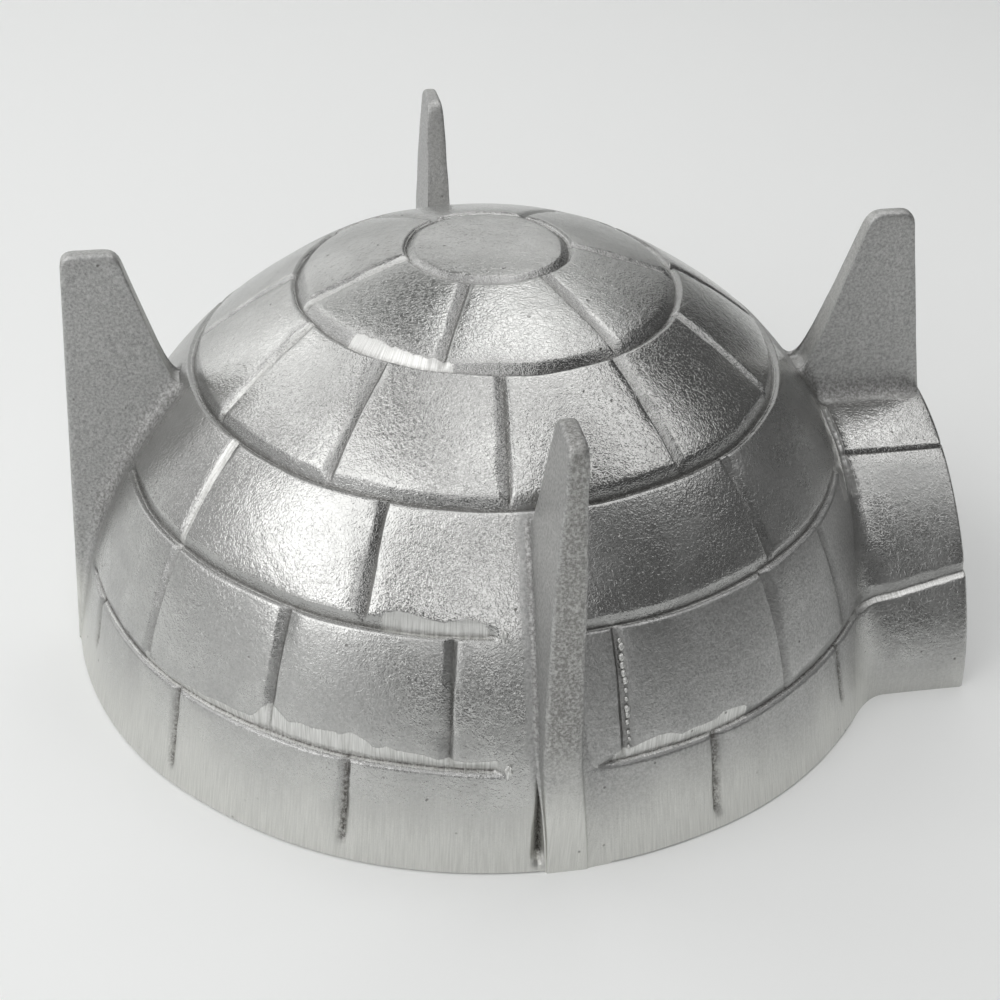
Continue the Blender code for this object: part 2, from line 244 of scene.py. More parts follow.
def domePlace(down, azimuth, reach):
    # Spherical place: down from the crown, round from +X, at a distance from the floor's centre
    flat = reach * np.sin(down)
    return np.stack([flat * np.cos(azimuth), flat * np.sin(azimuth), reach * np.cos(down)], -1)


def beyondArch(place):
    # How far a place stands outside the tunnel's arch, seen along the tunnel, and its turn from the crown
    turn = np.arctan2(np.abs(place[..., 1]), place[..., 2])
    away = np.hypot(place[..., 1], place[..., 2]) - archRadius(turn)
    return np.where(place[..., 0] > 0, away, 1.0), turn


def legValues(azimuth, fillets, footFillets, footShift=0.0, tipShift=0.0, dirtAndShade=0.0):
    # One leg's values: its fillets on the left and right, seen from outside, above and at the foot,
    # how far its foot and its tip stand to the right, and how dirty its edge is
    return {"azimuth": azimuth, "fillets": np.array(fillets) * mm, "footFillets": np.array(footFillets) * mm,
            "footShift": footShift * mm, "tipShift": tipShift * mm, "dirtAndShade": dirtAndShade}


legs = {
    "leg_front": legValues(-90.0, (1.9, 2.2), (0.4, 6.0), footShift=1.8, tipShift=0.8, dirtAndShade=0.5),
    "leg_left": legValues(180.0, (5.0, 5.5), (3.0, 3.0)),
    "leg_back": legValues(90.0, (6.0, 6.0), (3.0, 3.0)),
}
legShape = {
    "outerLean": 0.060, "innerLean": 0.300,
    # how thick a leg is at each height
    "heights": np.array([0, 12, 35, 62, 78, 98, 110.5]) * mm,
    "thickness": np.array([9.6, 9.4, 8.9, 8.0, 7.0, 5.2, 4.2]) * mm,
    "tipLength": 13.2 * mm, "tipRounding": 3.2 * mm, "edge": 1.5 * mm, "toe": 4.2 * mm, "sunk": 1.7 * mm,
    "toeTurn": np.radians(47.0),                             # how far down from the crown a leg starts
    # heights between which the foot's fillets grow to the leg's own, and the foot's shift fades
    "footFillet": (14 * mm, 38 * mm), "footShift": (0.0, 34 * mm), "tipShiftFrom": 55 * mm,
}


def halfThickness(height):
    # Half a leg's thickness, read off its table of heights
    return np.interp(height, legShape["heights"], legShape["thickness"]) / 2


def legFillet(leg, side, height):
    # The fillet beside a leg: its own size above the lowest course, less at the foot
    foot = leg["footFillets"][side]
    return foot + (leg["fillets"][side] - foot) * smooth(height, *legShape["footFillet"])


def legMiddle(leg, height):
    # How far to the right a leg's middle stands: the foot's shift, which fades upwards, and the tip's
    foot = leg["footShift"] * (1 - smooth(height, *legShape["footShift"]))
    return foot + leg["tipShift"] * smooth(height, legShape["tipShiftFrom"], legTop)


def acrossLeg(place, leg):
    # Distance to the right of a leg's middle, and distance out from the axis along the leg
    c, s = np.cos(np.radians(leg["azimuth"])), np.sin(np.radians(leg["azimuth"]))
    across = place[..., 1] * c - place[..., 0] * s - legMiddle(leg, place[..., 2])
    return across, place[..., 0] * c + place[..., 1] * s


def clearOfLegs(place, cutBack):
    # 1 where a groove may run, 0 beside a leg's fillet. cutBack keeps it further off the front leg's left.
    free = np.ones(place.shape[:-1])
    down, height, toe = turnsOf(place)[0], place[..., 2], legShape["toeTurn"]
    for name, leg in legs.items():
        across, out = acrossLeg(place, leg)
        for side, sign in ((0, -1), (1, 1)):
            stop = halfThickness(height) + legFillet(leg, side, height) - 0.5 * mm
            if cutBack and name == "leg_front" and side == 0:
                stop = np.maximum(stop, halfThickness(height) + 8.5 * mm)
            beside = (out > 0) & (sign * across > -0.5 * mm)
            near = np.where(beside, smooth(sign * across - stop, 0, 1.0 * mm), 1.0)
            free = np.minimum(free, 1 - (1 - near) * smooth(down, toe - 0.025, toe))
    return free


def mattAt(place):
    # 1 on and beside a leg, where the skin stayed matt and grey, and 0 a few mm past its fillets
    matt = np.zeros(place.shape[:-1])
    down, height, toe = turnsOf(place)[0], place[..., 2], legShape["toeTurn"]
    for leg in legs.values():
        across, out = acrossLeg(place, leg)
        for side, sign in ((0, -1), (1, 1)):
            past = sign * across - halfThickness(height)
            width = legFillet(leg, side, height)
            near = (1 - smooth(past, 0.3 * width, width + 3 * mm)) * (sign * across >= 0) * (out > 0)
            matt = np.maximum(matt, near * smooth(down, toe - 0.12, toe + 0.02))
    past = np.abs(place[..., 1]) - halfThickness(height)
    near = (1 - smooth(past, 1 * mm, 6 * mm)) * smooth(place[..., 0], 70 * mm, 80 * mm)
    return np.maximum(matt, near)


def dullAt(place):
    # Part of the way to matt: some in the course above the band, and more to the right of the front leg
    down, azimuth = turnsOf(place)
    third, lowest = dome["rings"][2], dome["rings"][3]
    low = smooth(down, lowest - 0.01, lowest + 0.02)
    right = smooth(azimuth, np.radians(-90), np.radians(-84)) * smooth(down, third - 0.01, third + 0.02)
    return 0.35 * low + 0.4 * right


def bandBrushed(place):
    # 1 on the rim's brushed band, with a patchy top border under the lowest ring
    down, azimuth = turnsOf(place)
    top, reach = dome["rings"][4], dome["rimRadius"]
    band = smooth(down, top + 1.2 * mm / reach, top + 3.0 * mm / reach)
    return band * smooth(0.8 * wander(azimuth * 3, 95, 21) + 3.0 * (down - 1.46) / 0.1, -4.5, 2.5)


def jointFlanks(joint):
    # Widths of a joint's two flanks, towards lower and towards higher azimuths
    wideFirst = joint < -85 or joint > 90
    return (dome["jointWide"], dome["jointNarrow"]) if wideFirst else (dome["jointNarrow"], dome["jointWide"])


def jointShape(course, joint, down, across, along):
    # A joint's half width, its depth, and how far down it stops. The crevice opens on its way, and the
    # band's joints are wider, uneven in depth and stop short of the rim
    rim = np.pi / 2
    if joint == dome["crevice"]:
        opened = smooth(along, 0, dome["creviceOpens"])
        width = (0.4 + 1.9 * opened) * mm * (1 + 0.2 * wander(down * 15, 640, 89))
        return width, (0.8 + 2.4 * opened) * mm, rim - dome["creviceStop"] / dome["rimRadius"]
    lowFlank, highFlank = jointFlanks(joint)
    width = np.where(across < 0, lowFlank, highFlank)
    depth = dome["jointDepth"] * (0.25 if joint in dome["faintJoints"] and course == 3 else 1.0)
    if course < 4:
        stop = dome["rings"][course + 1]
    else:
        stop = rim - dome["shortJoints"].get(joint, dome["jointStop"]) / dome["rimRadius"]
        width = width * 1.15
        depth = depth * (0.85 + 0.25 * wander(down * 11 + joint, int(700 + joint), 144))
    return width * (1 + 0.16 * wander(down * 7 + joint, int(500 + joint), 55)), depth, stop


def ringFiling(ring, azimuth):
    # How much of a ring's upper flank was filed at each azimuth, and how much wider that made it
    filedAndHighlight, wider = np.zeros_like(azimuth), np.ones_like(azimuth)
    for at, start, end, factor, bright in dome["ringFiled"]:
        if at == ring:
            first, last = np.radians([start, end])
            here = hump(azimuth, first, first + 0.06, last - 0.05, last)
            filedAndHighlight = np.maximum(filedAndHighlight, bright * smooth(here, 0.0, 0.3))
            wider = wider + (factor - 1) * here * (1 + 0.35 * wander(azimuth, 19 + ring, 89))
    return filedAndHighlight, wider


def ringLine(ring, azimuth):
    # A ring groove's middle and its upper and lower flank widths round the dome
    middle = dome["rings"][ring] + wander(azimuth, 11 + ring, 21) * dome["ringWander"] / dome["radius"]
    filedAndHighlight, wider = ringFiling(ring, azimuth)
    ragged = (dome["ringRagged"][ring] + 0.12 * filedAndHighlight) * wander(azimuth, 31 + ring, 144)
    upper = dome["ringUpper"][ring] * np.clip(1 + ragged, 0.6, 1.7) * wider
    lower = dome["ringLower"][ring] * (1 + 0.12 * wander(azimuth, 51 + ring, 89))
    return middle, upper, lower


def carving(down, azimuth, reach, outside):
    # At each place, the depth of the grooves, how filed it is and where a highlight is painted, how dirty it
    # is, and how far inside a groove. Across a groove, share is 1 at its bottom and 0 at its edges
    place = domePlace(down, azimuth, reach)
    away, archTurn = beyondArch(place)
    hold = np.interp(archTurn, tunnel["filletTurn"], tunnel["filletDome"]) if outside else -tunnel["wall"]
    clearArch = smooth(away, hold - 0.5 * mm, hold + 1.0 * mm)
    clearLegs = clearOfLegs(place, False) if outside else 1.0
    clearFront = clearOfLegs(place, True) if outside else 1.0
    cuts = {layer: np.zeros(place.shape[:-1]) for layer in ("depth", "filedAndHighlight", "grimeAndShade", "groove", "shoulder")}

    def add(layer, amount):
        # Where grooves meet, the larger amount holds
        cuts[layer] = np.maximum(cuts[layer], amount)

    def addEdges(share, past, clear):
        # The inside of a groove, and how the blocks fall away towards it, by the distance past its edges
        add("groove", smooth(share, -0.06, 0.08) * clear)
        add("shoulder", np.clip(1 - past / dome["shoulderWidth"], 0, 1) ** 2 * clear)

    for ring in range(len(dome["rings"])):
        middle, upper, lower = ringLine(ring, azimuth)
        below = (down - middle) * reach
        share = np.where(below < 0, 1 + below / upper, 1 - below / lower)
        clear = clearFront if ring >= 3 else clearLegs
        clear = clear * (clearArch if ring != 4 or not outside else 1.0)
        uneven = 1 + 0.10 * wander(azimuth, 71 + ring, 89)
        add("depth", dome["ringDepth"][ring] * uneven * vee(share) * clear)
        opened, _wider = ringFiling(ring, azimuth)
        add("filedAndHighlight", smooth(share, -0.15, 0.15) * (below < 0.2 * mm) * clear * opened)
        # painted highlight: each ring's lower lip gets the light filed tone, where it faces the light from
        # above
        lip = 0.5 if ring in (1, 2) else 0.58
        add("filedAndHighlight", smooth(share, 0.1, 0.3) * (below > 0.3 * mm) * clear * lip)
        add("grimeAndShade", smooth(share, 0.75, 1.0) * clear * (0.9 if ring == 4 else 0.5))
        addEdges(share, np.where(below < 0, -below - upper, below - lower), clear)
    for course, azimuths in enumerate(dome["joints"]):
        start, unit = dome["rings"][course], mm / reach
        for joint in azimuths:
            turn = (azimuth - np.radians(joint) + np.pi) % (2 * np.pi) - np.pi
            across = turn * reach * np.sin(down)
            width, depth, stop = jointShape(course, joint, down, across, reach * (down - start))
            share = 1 - np.abs(across) / width
            clear = hump(down, start - 0.4 * unit, start + 0.4 * unit, stop - 0.7 * unit, stop + 0.7 * unit)
            clear = clear * (clearLegs if joint != dome["crevice"] else 1.0)
            add("depth", depth * vee(share) * clear * clearArch)
            add("grimeAndShade", smooth(share, 0.3, 0.9) * clear * (1.0 if course == 4 else 0.35))
            # painted highlight on these joints' flanks, in the light filed tone
            if joint in dome["highlightJoints"]:
                add("filedAndHighlight", 0.6 * smooth(share, 0.0, 0.25) * clear)
            addEdges(share, np.abs(across) - width, clear)
    if outside:
        # the chisel's ditch
        middle = hold + tunnel["ditchAway"] + 0.5 * mm * wander(archTurn * 4, 91, 144)
        ditch = vee(1 - np.abs(away - middle) / tunnel["ditchHalf"])
        ditch = ditch * hump(archTurn, *tunnel["ditchTurns"]) * (place[..., 1] < 0)
        add("depth", tunnel["ditchDepth"] * ditch * (1 + 0.35 * wander(archTurn * 5, 92, 233)))
        add("filedAndHighlight", smooth(ditch, 0, 0.3))
        cuts["depth"] = cuts["depth"] + dome["shoulder"] * cuts["shoulder"] * clearArch
    return cuts


def mouthLine(azimuth, inset):
    # Where the dome's surface meets the tunnel's inner arch, found by halving: the angle down from
    # the crown at each azimuth, or the floor where the two don't meet
    low, high = np.zeros_like(azimuth), np.full_like(azimuth, np.pi / 2)
    for _ in range(40):
        middle = (low + high) / 2
        away, _turn = beyondArch(domePlace(middle, azimuth, domeReach(middle, inset)))
        outside = away + tunnel["wall"] > 0
        low, high = np.where(outside, middle, low), np.where(outside, high, middle)
    return high


def domeColumns():
    # Azimuths of the grid: seven across each joint, the mouth's own, and even ones between
    marks = []
    bounds = np.concatenate([dome["rings"], [np.pi / 2]])
    steps = np.array([0.45, 0.9, 1.12])
    for course, azimuths in enumerate(dome["joints"]):
        middle = bounds[course:course + 2].mean()
        radius = domeReach(middle, 0.0) * np.sin(middle)
        for joint in azimuths:
            lowFlank, highFlank = jointFlanks(joint)
            offsets = np.concatenate([-steps * lowFlank, [0.0], steps * highFlank])
            marks.append(np.radians(joint) + offsets / radius)
    for leg in legs.values():
        marks.append(np.radians(leg["azimuth"]) + np.radians([-5.6, -5.0, 4.0, 4.6]))
    beside = np.array([0.6, 1.2, 1.8, 2.4]) * mm / dome["rimRadius"]
    marks.append(np.radians(dome["crevice"]) + np.concatenate([-beside, beside]))
    turn = np.radians(np.arange(6, 91, 6))
    radius = archRadius(turn) - tunnel["wall"]
    mouth = np.arctan2(radius * np.sin(turn), np.sqrt(dome["radius"] ** 2 - radius ** 2))
    ditch = np.radians(np.arange(13, 36, 0.7))
    marks = np.concatenate(marks + [mouth, -mouth, ditch, -ditch])
    marks = np.unique(np.round((marks + np.pi) % (2 * np.pi) - np.pi, 3))
    even = np.linspace(-np.pi, np.pi, dome["evenColumns"])
    even = even[np.abs(even[:, None] - marks).min(1) > np.radians(0.5)]
    between = np.unique(np.concatenate([even, marks]))
    between = between[(between > -np.pi + 0.004) & (between < np.pi - 0.004)]
    return np.concatenate([[-np.pi], between, [np.pi]])


def domeRows(azimuth, above, below, spacing):
    # Angles down from the crown for every row and column: rows follow each ring groove's flanks,
    # and fill each course between at its own spacing
    rows = [np.zeros((1, len(azimuth)))]
    last, radius = rows[0], dome["radius"]
    for ring in range(len(dome["rings"])):
        middle, upper, lower = ringLine(ring, azimuth)
        higher, deeper = np.outer(above, upper) / radius, np.outer(below, lower) / radius
        zone = np.concatenate([middle - higher, [middle], middle + deeper])
        count = int(np.ceil((zone[0].mean() - last[-1].mean()) * radius / spacing[ring]))
        rows += [straight(last[-1], zone[0], count), zone]
        last = zone
    rim = np.full((1, len(azimuth)), np.pi / 2 - 0.5 * mm / dome["rimRadius"])
    count = int(np.ceil((rim.mean() - last[-1].mean()) * radius / spacing[-1]))
    rows += [straight(last[-1], rim[0], count), rim]
    return np.concatenate(rows)


def makeDome():
    # Outside rows from the crown down, three across the rim or the tunnel's mouth, then the inside
    # rows back up: one sheet that closes on itself at both crowns
    azimuth = domeColumns()
    above, below = np.array([1.4, 1.08, 0.94, 0.62, 0.3, 0.1]), np.array([0.4, 0.9, 1.15, 1.6])
    outer = domeRows(azimuth, above, below, dome["outerSpacing"])
    outer = np.minimum(outer, mouthLine(azimuth, 0.0))
    spacing = np.full_like(dome["outerSpacing"], dome["innerSpacing"])
    inner = domeRows(azimuth, np.array([1.2, 0.6]), np.array([0.5, 1.2]), spacing)[::-1]
    inner = np.minimum(inner, mouthLine(azimuth, dome["wall"]))
    reach = domeReach(outer, 0.0)
    cuts = carving(outer, azimuth, reach, True)
    skin = domePlace(outer, azimuth, reach)
    outside = domePlace(outer, azimuth, reach + unevenness(skin) - cuts["depth"])
    innerReach = domeReach(inner, dome["wall"])
    inside = domePlace(inner, azimuth, innerReach - carving(inner, azimuth, innerReach, False)["depth"])
    share = np.array([0.12, 0.5, 0.88])[:, None, None]
    rim = outside[-1] + (inside[0] - outside[-1]) * share
    onFloor = (outside[-1, :, 2] < 1 * mm) & (inside[0, :, 2] < 1 * mm)
    rim[..., 2] = np.where(onFloor, 0.0, rim[..., 2])
    points = np.concatenate([outside, rim, inside])
    turned = np.broadcast_to(azimuth, points.shape[:2]) * dome["radius"]
    down = np.concatenate([outer, np.tile(outer[-1:], (len(rim), 1)), inner]) * dome["radius"]
    masks = {mask: cuts[mask] for mask in ("grimeAndShade", "groove", "filedAndHighlight")}
    masks["matt"] = np.maximum(mattAt(skin), dullAt(skin))
    masks["brushed"] = bandBrushed(skin)
    masks = padded(masks, len(points) - len(outside))
    masks["filedAndHighlight"][len(outside):len(outside) + len(rim)] = 1.0
    return gridPiece("dome_blocks", points, np.stack([turned, down], -1), masks)


domePiece = makeDome()
print("cake mould: dome", len(domePiece.data.polygons), "faces")

# The entrance tunnel

def domeAtArch(turn, radius):
    # How far along the tunnel the dome's surface is, at a radius and turn of the arch, by repeating
    # x = sqrt(reach^2 - radius^2) with the reach at the angle that this x gives
    x = np.sqrt(np.clip(dome["radius"] ** 2 - radius ** 2, 0, None))
    for _ in range(12):
        down = np.arctan2(np.hypot(x, radius * np.sin(turn)), radius * np.cos(turn))
        x = np.sqrt(np.clip(domeReach(down, 0.0) ** 2 - radius ** 2, 0, None))
    return x


def archPlace(x, radius, turn):
    # A place on the arch: along the tunnel, and a radius at a turn from its crown towards +Y
    x, radius, turn = np.broadcast_arrays(x, radius, turn)
    return np.stack([x, radius * np.sin(turn), radius * np.cos(turn)], -1)


def tunnelCarving(place, turn, nearDome):
    # Depth of the tunnel's grooves, which keep their height as they run on over the fillet, and how
    # filed, how dirty and how far inside a groove each place is. nearDome is 1 where the fillet ends
    depth, filedAndHighlight, grimeAndShade, within = (np.zeros(place.shape[:-1]) for _ in range(4))
    for groove, at in enumerate(tunnel["grooveTurn"]):
        rise = tunnel["grooveTilt"][groove] * np.clip(place[..., 0] - tunnel["tiltFrom"], 0, None)
        level = archRadius(at) * np.cos(at) + rise
        below = (level - place[..., 2]) / np.sin(at)
        upper, lower = tunnel["grooveUpper"][groove], tunnel["grooveLower"][groove]
        upper = upper * (1 + 0.12 * wander(place[..., 0] * 90, 130 + groove, 55))
        share = np.where(below < 0, 1 + below / upper, 1 - below / lower)
        fade = 1 - nearDome if groove == 0 else 1.0
        depth = np.maximum(depth, tunnel["grooveDepth"][groove] * vee(share) * fade)
        filedAndHighlight = np.maximum(filedAndHighlight, smooth(share, -0.1, 0.1) * (below > -0.1 * mm) * fade * groove)
        grimeAndShade = np.maximum(grimeAndShade, smooth(share, 0.7, 1.0) * fade * (0.9 - 0.5 * groove))
        within = np.maximum(within, smooth(share, -0.2, 0.2) * fade)
    # the chisel's torn ridge, with a notch every 2.3 mm or so
    strip, off = hump(-turn, *tunnel["chiselled"]), 1 - nearDome
    notch = (turn * tunnel["radius"] / tunnel["ridgeNotch"] + 0.4 * wander(turn * 3, 95, 34)) % 1.0
    depth = depth - tunnel["ridgeLift"] * strip * hump(off, 0.12, 0.5, 0.6, 1.0) * (0.3 + 0.7 * notch)
    filedAndHighlight = np.maximum(filedAndHighlight, strip * hump(off, 0.0, 0.2, 0.7, 0.9))
    return depth, filedAndHighlight, grimeAndShade, within


def tunnelColumns():
    # Turns of the grid from one side over the crown to the other: beside the upper groove, close ones
    # where the tilted lower groove crosses them and at the torn ridge, and even ones between
    steps = np.array([0.5, 1.0, 1.5])
    steps = np.concatenate([-steps * tunnel["grooveUpper"][0], [0.0], steps * tunnel["grooveLower"][0]])
    marks = tunnel["grooveTurn"][0] + steps / tunnel["radius"]
    marks = np.concatenate([marks, np.radians(np.arange(56.6, 65.8, 0.4))])
    even = np.radians(np.arange(0, 90.1, 1.8))
    even = even[np.abs(even[:, None] - marks).min(1) > np.radians(0.35)]
    half = np.unique(np.concatenate([even, marks, [np.pi / 2]]))
    turn = np.concatenate([-half[::-1], half[1:]])
    torn = -np.arange(tunnel["chiselled"][0], tunnel["chiselled"][3], 0.006)
    torn = torn[np.abs(torn[:, None] - turn).min(1) > 0.002]
    return np.sort(np.concatenate([turn, torn]))


def makeTunnel():
    # Each column is one turn of the arch. Its path runs from inside the dome's wall over the fillet
    # and along the arch, down the end to the floor's middle, and back inside: a closed loop
    turn = tunnelColumns()
    radius, wall, edge = archRadius(turn), tunnel["wall"], tunnel["edge"]
    onFloor = np.abs(np.abs(turn) - np.pi / 2) < 1e-6
    archSide = np.interp(np.abs(turn), tunnel["filletTurn"], tunnel["filletArch"])
    domeSide = np.interp(np.abs(turn), tunnel["filletTurn"], tunnel["filletDome"])
    corner = archPlace(domeAtArch(turn, radius), radius, turn)
    start = archPlace(corner[:, 0] + archSide, radius, turn)
    landing = archPlace(domeAtArch(turn, radius + domeSide), radius + domeSide, turn)
    fillet = bend(sunkBy(landing, 0.08 * mm), corner, start, 9)
    edgeStart = archPlace(tunnelEnd - edge, radius, turn)
    along = straight(start, edgeStart, 12)
    edgeEnd = archPlace(tunnelEnd, radius - edge, turn)
    outside = np.concatenate([fillet, along, bend(edgeStart, archPlace(tunnelEnd, radius, turn), edgeEnd, 5)])
    nearDome = np.linspace(1, 0, len(fillet))
    nearDome = np.concatenate([nearDome, np.zeros(len(outside) - len(fillet))])[:, None]
    depth, filedAndHighlight, grimeAndShade, groove = tunnelCarving(outside, turn, nearDome)
    lift = unevenness(outside) - depth
    normal = archPlace(0.0, 1.0, turn)[None] * (1 - nearDome[..., None])
    normal = normal + outside / np.linalg.norm(outside, axis=-1, keepdims=True) * nearDome[..., None]
    normal[..., 2] = np.where(onFloor, 0.0, normal[..., 2])
    outside = outside + normal * lift[..., None]
    face = np.stack([archPlace(tunnelEnd, (radius - edge) * share, turn) for share in (0.85, 0.6, 0.3, 0.0)])
    inner, innerEnd, rounding = radius - wall, tunnelEnd - wall, 1.5 * mm
    back = np.stack([archPlace(innerEnd, inner * share, turn) for share in (0.0, 0.4, 0.8, 0.97)])
    innerStart = domeAtArch(turn, inner)
    run = np.stack([archPlace(innerEnd - rounding + (innerStart - innerEnd + rounding) * share, inner, turn)
                    for share in (0.0, 0.33, 0.66, 1.0)])
    buried = archPlace(innerStart - 1.5 * mm, radius - wall / 2, turn)[None]
    points = np.concatenate([outside, face, back, run, buried, sunkBy(fillet[0], 1.6 * mm)[None]])
    points[..., 2] = np.where(onFloor, 0.0, points[..., 2])
    bottom = smooth(-outside[..., 2] + 1.5 * mm * wander(outside[..., 0] * 60, 140, 55), -14 * mm, 2 * mm)
    band = bandBrushed(outside) * (1 - smooth(outside[..., 0], 88 * mm, 98 * mm))
    masks = {"grimeAndShade": grimeAndShade, "groove": groove, "filedAndHighlight": filedAndHighlight, "brushed": np.maximum(0.6 * bottom, band)}
    masks = padded(masks, len(points) - len(outside))
    masks["matt"] = np.maximum(mattAt(points), 0.45 * smooth(np.abs(turn), np.radians(24), np.radians(32)))
    masks["matt"][len(outside):len(outside) + len(face)] = 0.8
    around = np.broadcast_to(turn * tunnel["radius"], points.shape[:2])
    uv = np.stack([points[..., 0], around], -1)
    return gridPiece("tunnel_arch", points, uv, masks, caps=((0, True), (-1, False)), closeRows=True)


tunnelPiece = makeTunnel()
print("cake mould: tunnel", len(tunnelPiece.data.polygons), "faces")

# The legs

def baseReach(place):
    # Distance from the floor's centre to the dome or the tunnel, whichever stands further out,
    # in the direction of each place
    length = np.linalg.norm(place, axis=-1)
    down = np.arccos(np.clip(place[..., 2] / length, -1, 1))
    reach = domeReach(down, 0.0)
    turn = np.arctan2(place[..., 1], place[..., 2])
    aside = np.maximum(np.hypot(place[..., 1], place[..., 2]), 1e-6) / length
    ahead = np.maximum(place[..., 0], 1e-6) / length
    arch = np.where(place[..., 0] > 0, np.minimum(archRadius(turn) / aside, tunnelEnd / ahead), 0.0)
    return np.maximum(reach, arch)


def ontoBase(place):
    # Moves places straight towards or away from the floor's centre until they lie on the base
    ray = place / np.linalg.norm(place, axis=-1, keepdims=True)
    reach = baseReach(place)
    return ray * (reach + unevenness(ray * reach[..., None]))[..., None]


def makeLeg(name, leg, rimPath, basePath):
    # A ridge pulled up out of its base. Each column is one section: over the fillet, up one flank,
    # round the edge, across, and down the other side, closed below the skin. rimPath and basePath
    # give the section's top and bottom as radius and height
    outward = np.array([np.cos(np.radians(leg["azimuth"])), np.sin(np.radians(leg["azimuth"])), 0.0])
    sideways = np.array([-outward[1], outward[0], 0.0])
    top = rimPath[:, :1] * outward + rimPath[:, 1:] * [0.0, 0.0, 1.0]
    bottom = basePath[:, :1] * outward + basePath[:, 1:] * [0.0, 0.0, 1.0]
    height = np.linalg.norm(top - bottom, axis=-1)
    upward = (top - bottom) / np.maximum(height, 1e-7)[:, None]
    edge = legShape["edge"] + 1.2 * mm * (1 - smooth(rimPath[:, 1], 5 * mm, 45 * mm))
    edge = np.minimum(edge, 0.4 * height)
    dive = 0.08 * mm + 1.3 * mm * smooth(np.linspace(0, 1, len(top)), 0.93, 1.0)

    def at(distance, sign, extra):
        # A place so far up the section, and half its thickness and a bit extra to one side
        place = bottom + upward * distance[:, None]
        aside = sign * (halfThickness(place[:, 2]) + extra) + legMiddle(leg, place[:, 2])
        return place + sideways * aside[:, None]

    def section(side, middle):
        # A value for each point of the section: up one side, the four across the edge, and mirrored
        return np.concatenate([side, np.full(4, middle), side[::-1], [0.0]])[:, None]

    sides = []
    for side, sign in ((0, -1.0), (1, 1.0)):
        fillet = legFillet(leg, side, bottom[:, 2])
        climb = np.minimum(fillet, 0.55 * height)
        foot = ontoBase(at(0 * height, sign, 0.0))
        landing = sunkBy(ontoBase(at(0 * height, sign, fillet)), dive[:, None])
        sides.append(np.concatenate([
            sunkBy(landing, 1.2 * mm)[None], bend(landing, foot, at(climb, sign, 0.0), 9),
            straight(at(climb, sign, 0.0), at(height - edge, sign, 0.0), 7),
            bend(at(height - edge, sign, 0.0), at(height, sign, 0.0), at(height, sign, -edge), 6)]))
    across = straight(sides[0][-1], sides[1][-1], 4)
    keel = sunkBy(at(0 * height, 0.0, 0.0), legShape["sunk"])
    points = np.concatenate([sides[0], across, sides[1][::-1], keel[None]])
    flank = section(np.concatenate([np.zeros(2), np.linspace(0, 1, 8), np.ones(13)]), 1.0)
    ridge = section(np.concatenate([np.zeros(17), np.linspace(0, 1, 6)]), 1.0)
    # corner: a hump over the fillet's rows, which the dark tone below turns into painted shade
    corner = section(np.concatenate([[0.0], np.sin(np.linspace(0.12, 1, 9) * np.pi), np.zeros(13)]), 0.0)
    wave = 0.12 * mm * wander(points[..., 2] * 40 + (points @ outward) * 25, 200 + int(leg["azimuth"]), 13)
    wave = wave * flank * smooth(points[..., 2], 2 * mm, 12 * mm)
    points = points + (wave * np.sign(points @ sideways))[..., None] * sideways
    travel = np.broadcast_to(travelled(rimPath), points.shape[:2])
    uv = np.stack([points @ sideways + points @ outward, travel], -1)
    low = 1 - smooth(points[..., 2] + 2 * mm * wander(points @ outward * 90, 230, 34), 12 * mm, 34 * mm)
    masks = {"brushed": np.maximum(np.maximum(0.3 * ridge, low * flank), bandBrushed(points))}
    masks["matt"] = np.maximum(mattAt(points), flank)
    # painted shade: the dark tone across the fillets' rows, with the edge's dirt, both from about 30 mm up
    masks["grimeAndShade"] = np.maximum(0.4 * corner, leg["dirtAndShade"] * ridge) * smooth(points[..., 2], 26 * mm, 40 * mm)
    masks["groove"] = masks["filedAndHighlight"] = np.zeros((1, 1))
    return gridPiece(name, points, uv, masks, caps=((0, True), (-1, False)), closeRows=True)


def meetDome(first, last):
    # Where a straight edge in radius and height reaches the dome's meridian
    points = first + (last - first) * np.linspace(0, 1, 400)[:, None]
    gap = np.hypot(*points.T) - domeReach(np.arctan2(points[:, 0], points[:, 1]), 0.0)
    share = np.interp(0.0, -gap, np.linspace(0, 1, 400))
    return first + (last - first) * share


def meridian(down):
    # The dome's outline as radius and height: reach times the sine and the cosine of the angle down
    reach = domeReach(down, 0.0)
    return np.stack([reach * np.sin(down), reach * np.cos(down)], -1)


def rimOfLeg(foot, outerTip, tipLength, toe, counts):
    # Foot, outer edge, rounded tip and inner edge, and a toe that runs out along the dome
    innerTip = outerTip - [tipLength, 0]
    rounding = legShape["tipRounding"]
    rising = (outerTip - foot) / np.linalg.norm(outerTip - foot)
    falling = np.array([-legShape["innerLean"], -1.0])
    falling = falling / np.linalg.norm(falling)
    meeting = meetDome(innerTip, innerTip + falling * 60 * mm)
    turn = np.arctan2(*meeting) - toe / dome["radius"]
    end = meridian(turn) * (1 - 1.3 * mm / dome["radius"])
    parts = [foot[None], straight(foot, outerTip - rising * rounding, counts[0]),
             bend(outerTip - rising * rounding, outerTip, outerTip - [rounding, 0], 6),
             bend(innerTip + [rounding, 0], innerTip, innerTip + falling * rounding, 6),
             straight(innerTip + falling * rounding, meeting - falling * toe, counts[1]),
             bend(meeting - falling * toe, meeting, end, 10)]
    return np.concatenate(parts), turn


legPieces = {}
for name, leg in legs.items():
    foot = np.array([legReach, 0.0])
    outerTip = np.array([legReach - legShape["outerLean"] * legTop, legTop])
    rimPath, toeTurn = rimOfLeg(foot, outerTip, legShape["tipLength"], legShape["toe"], (44, 16))
    share = travelled(rimPath) / travelled(rimPath)[-1]
    down = np.interp(share, [0, 0.25, 0.70, 1.0], [np.pi / 2, np.radians(68.5), np.radians(52.0), toeTurn])
    legPieces[name] = makeLeg(name.replace("leg_", "") + "_leg", leg, rimPath, meridian(down))

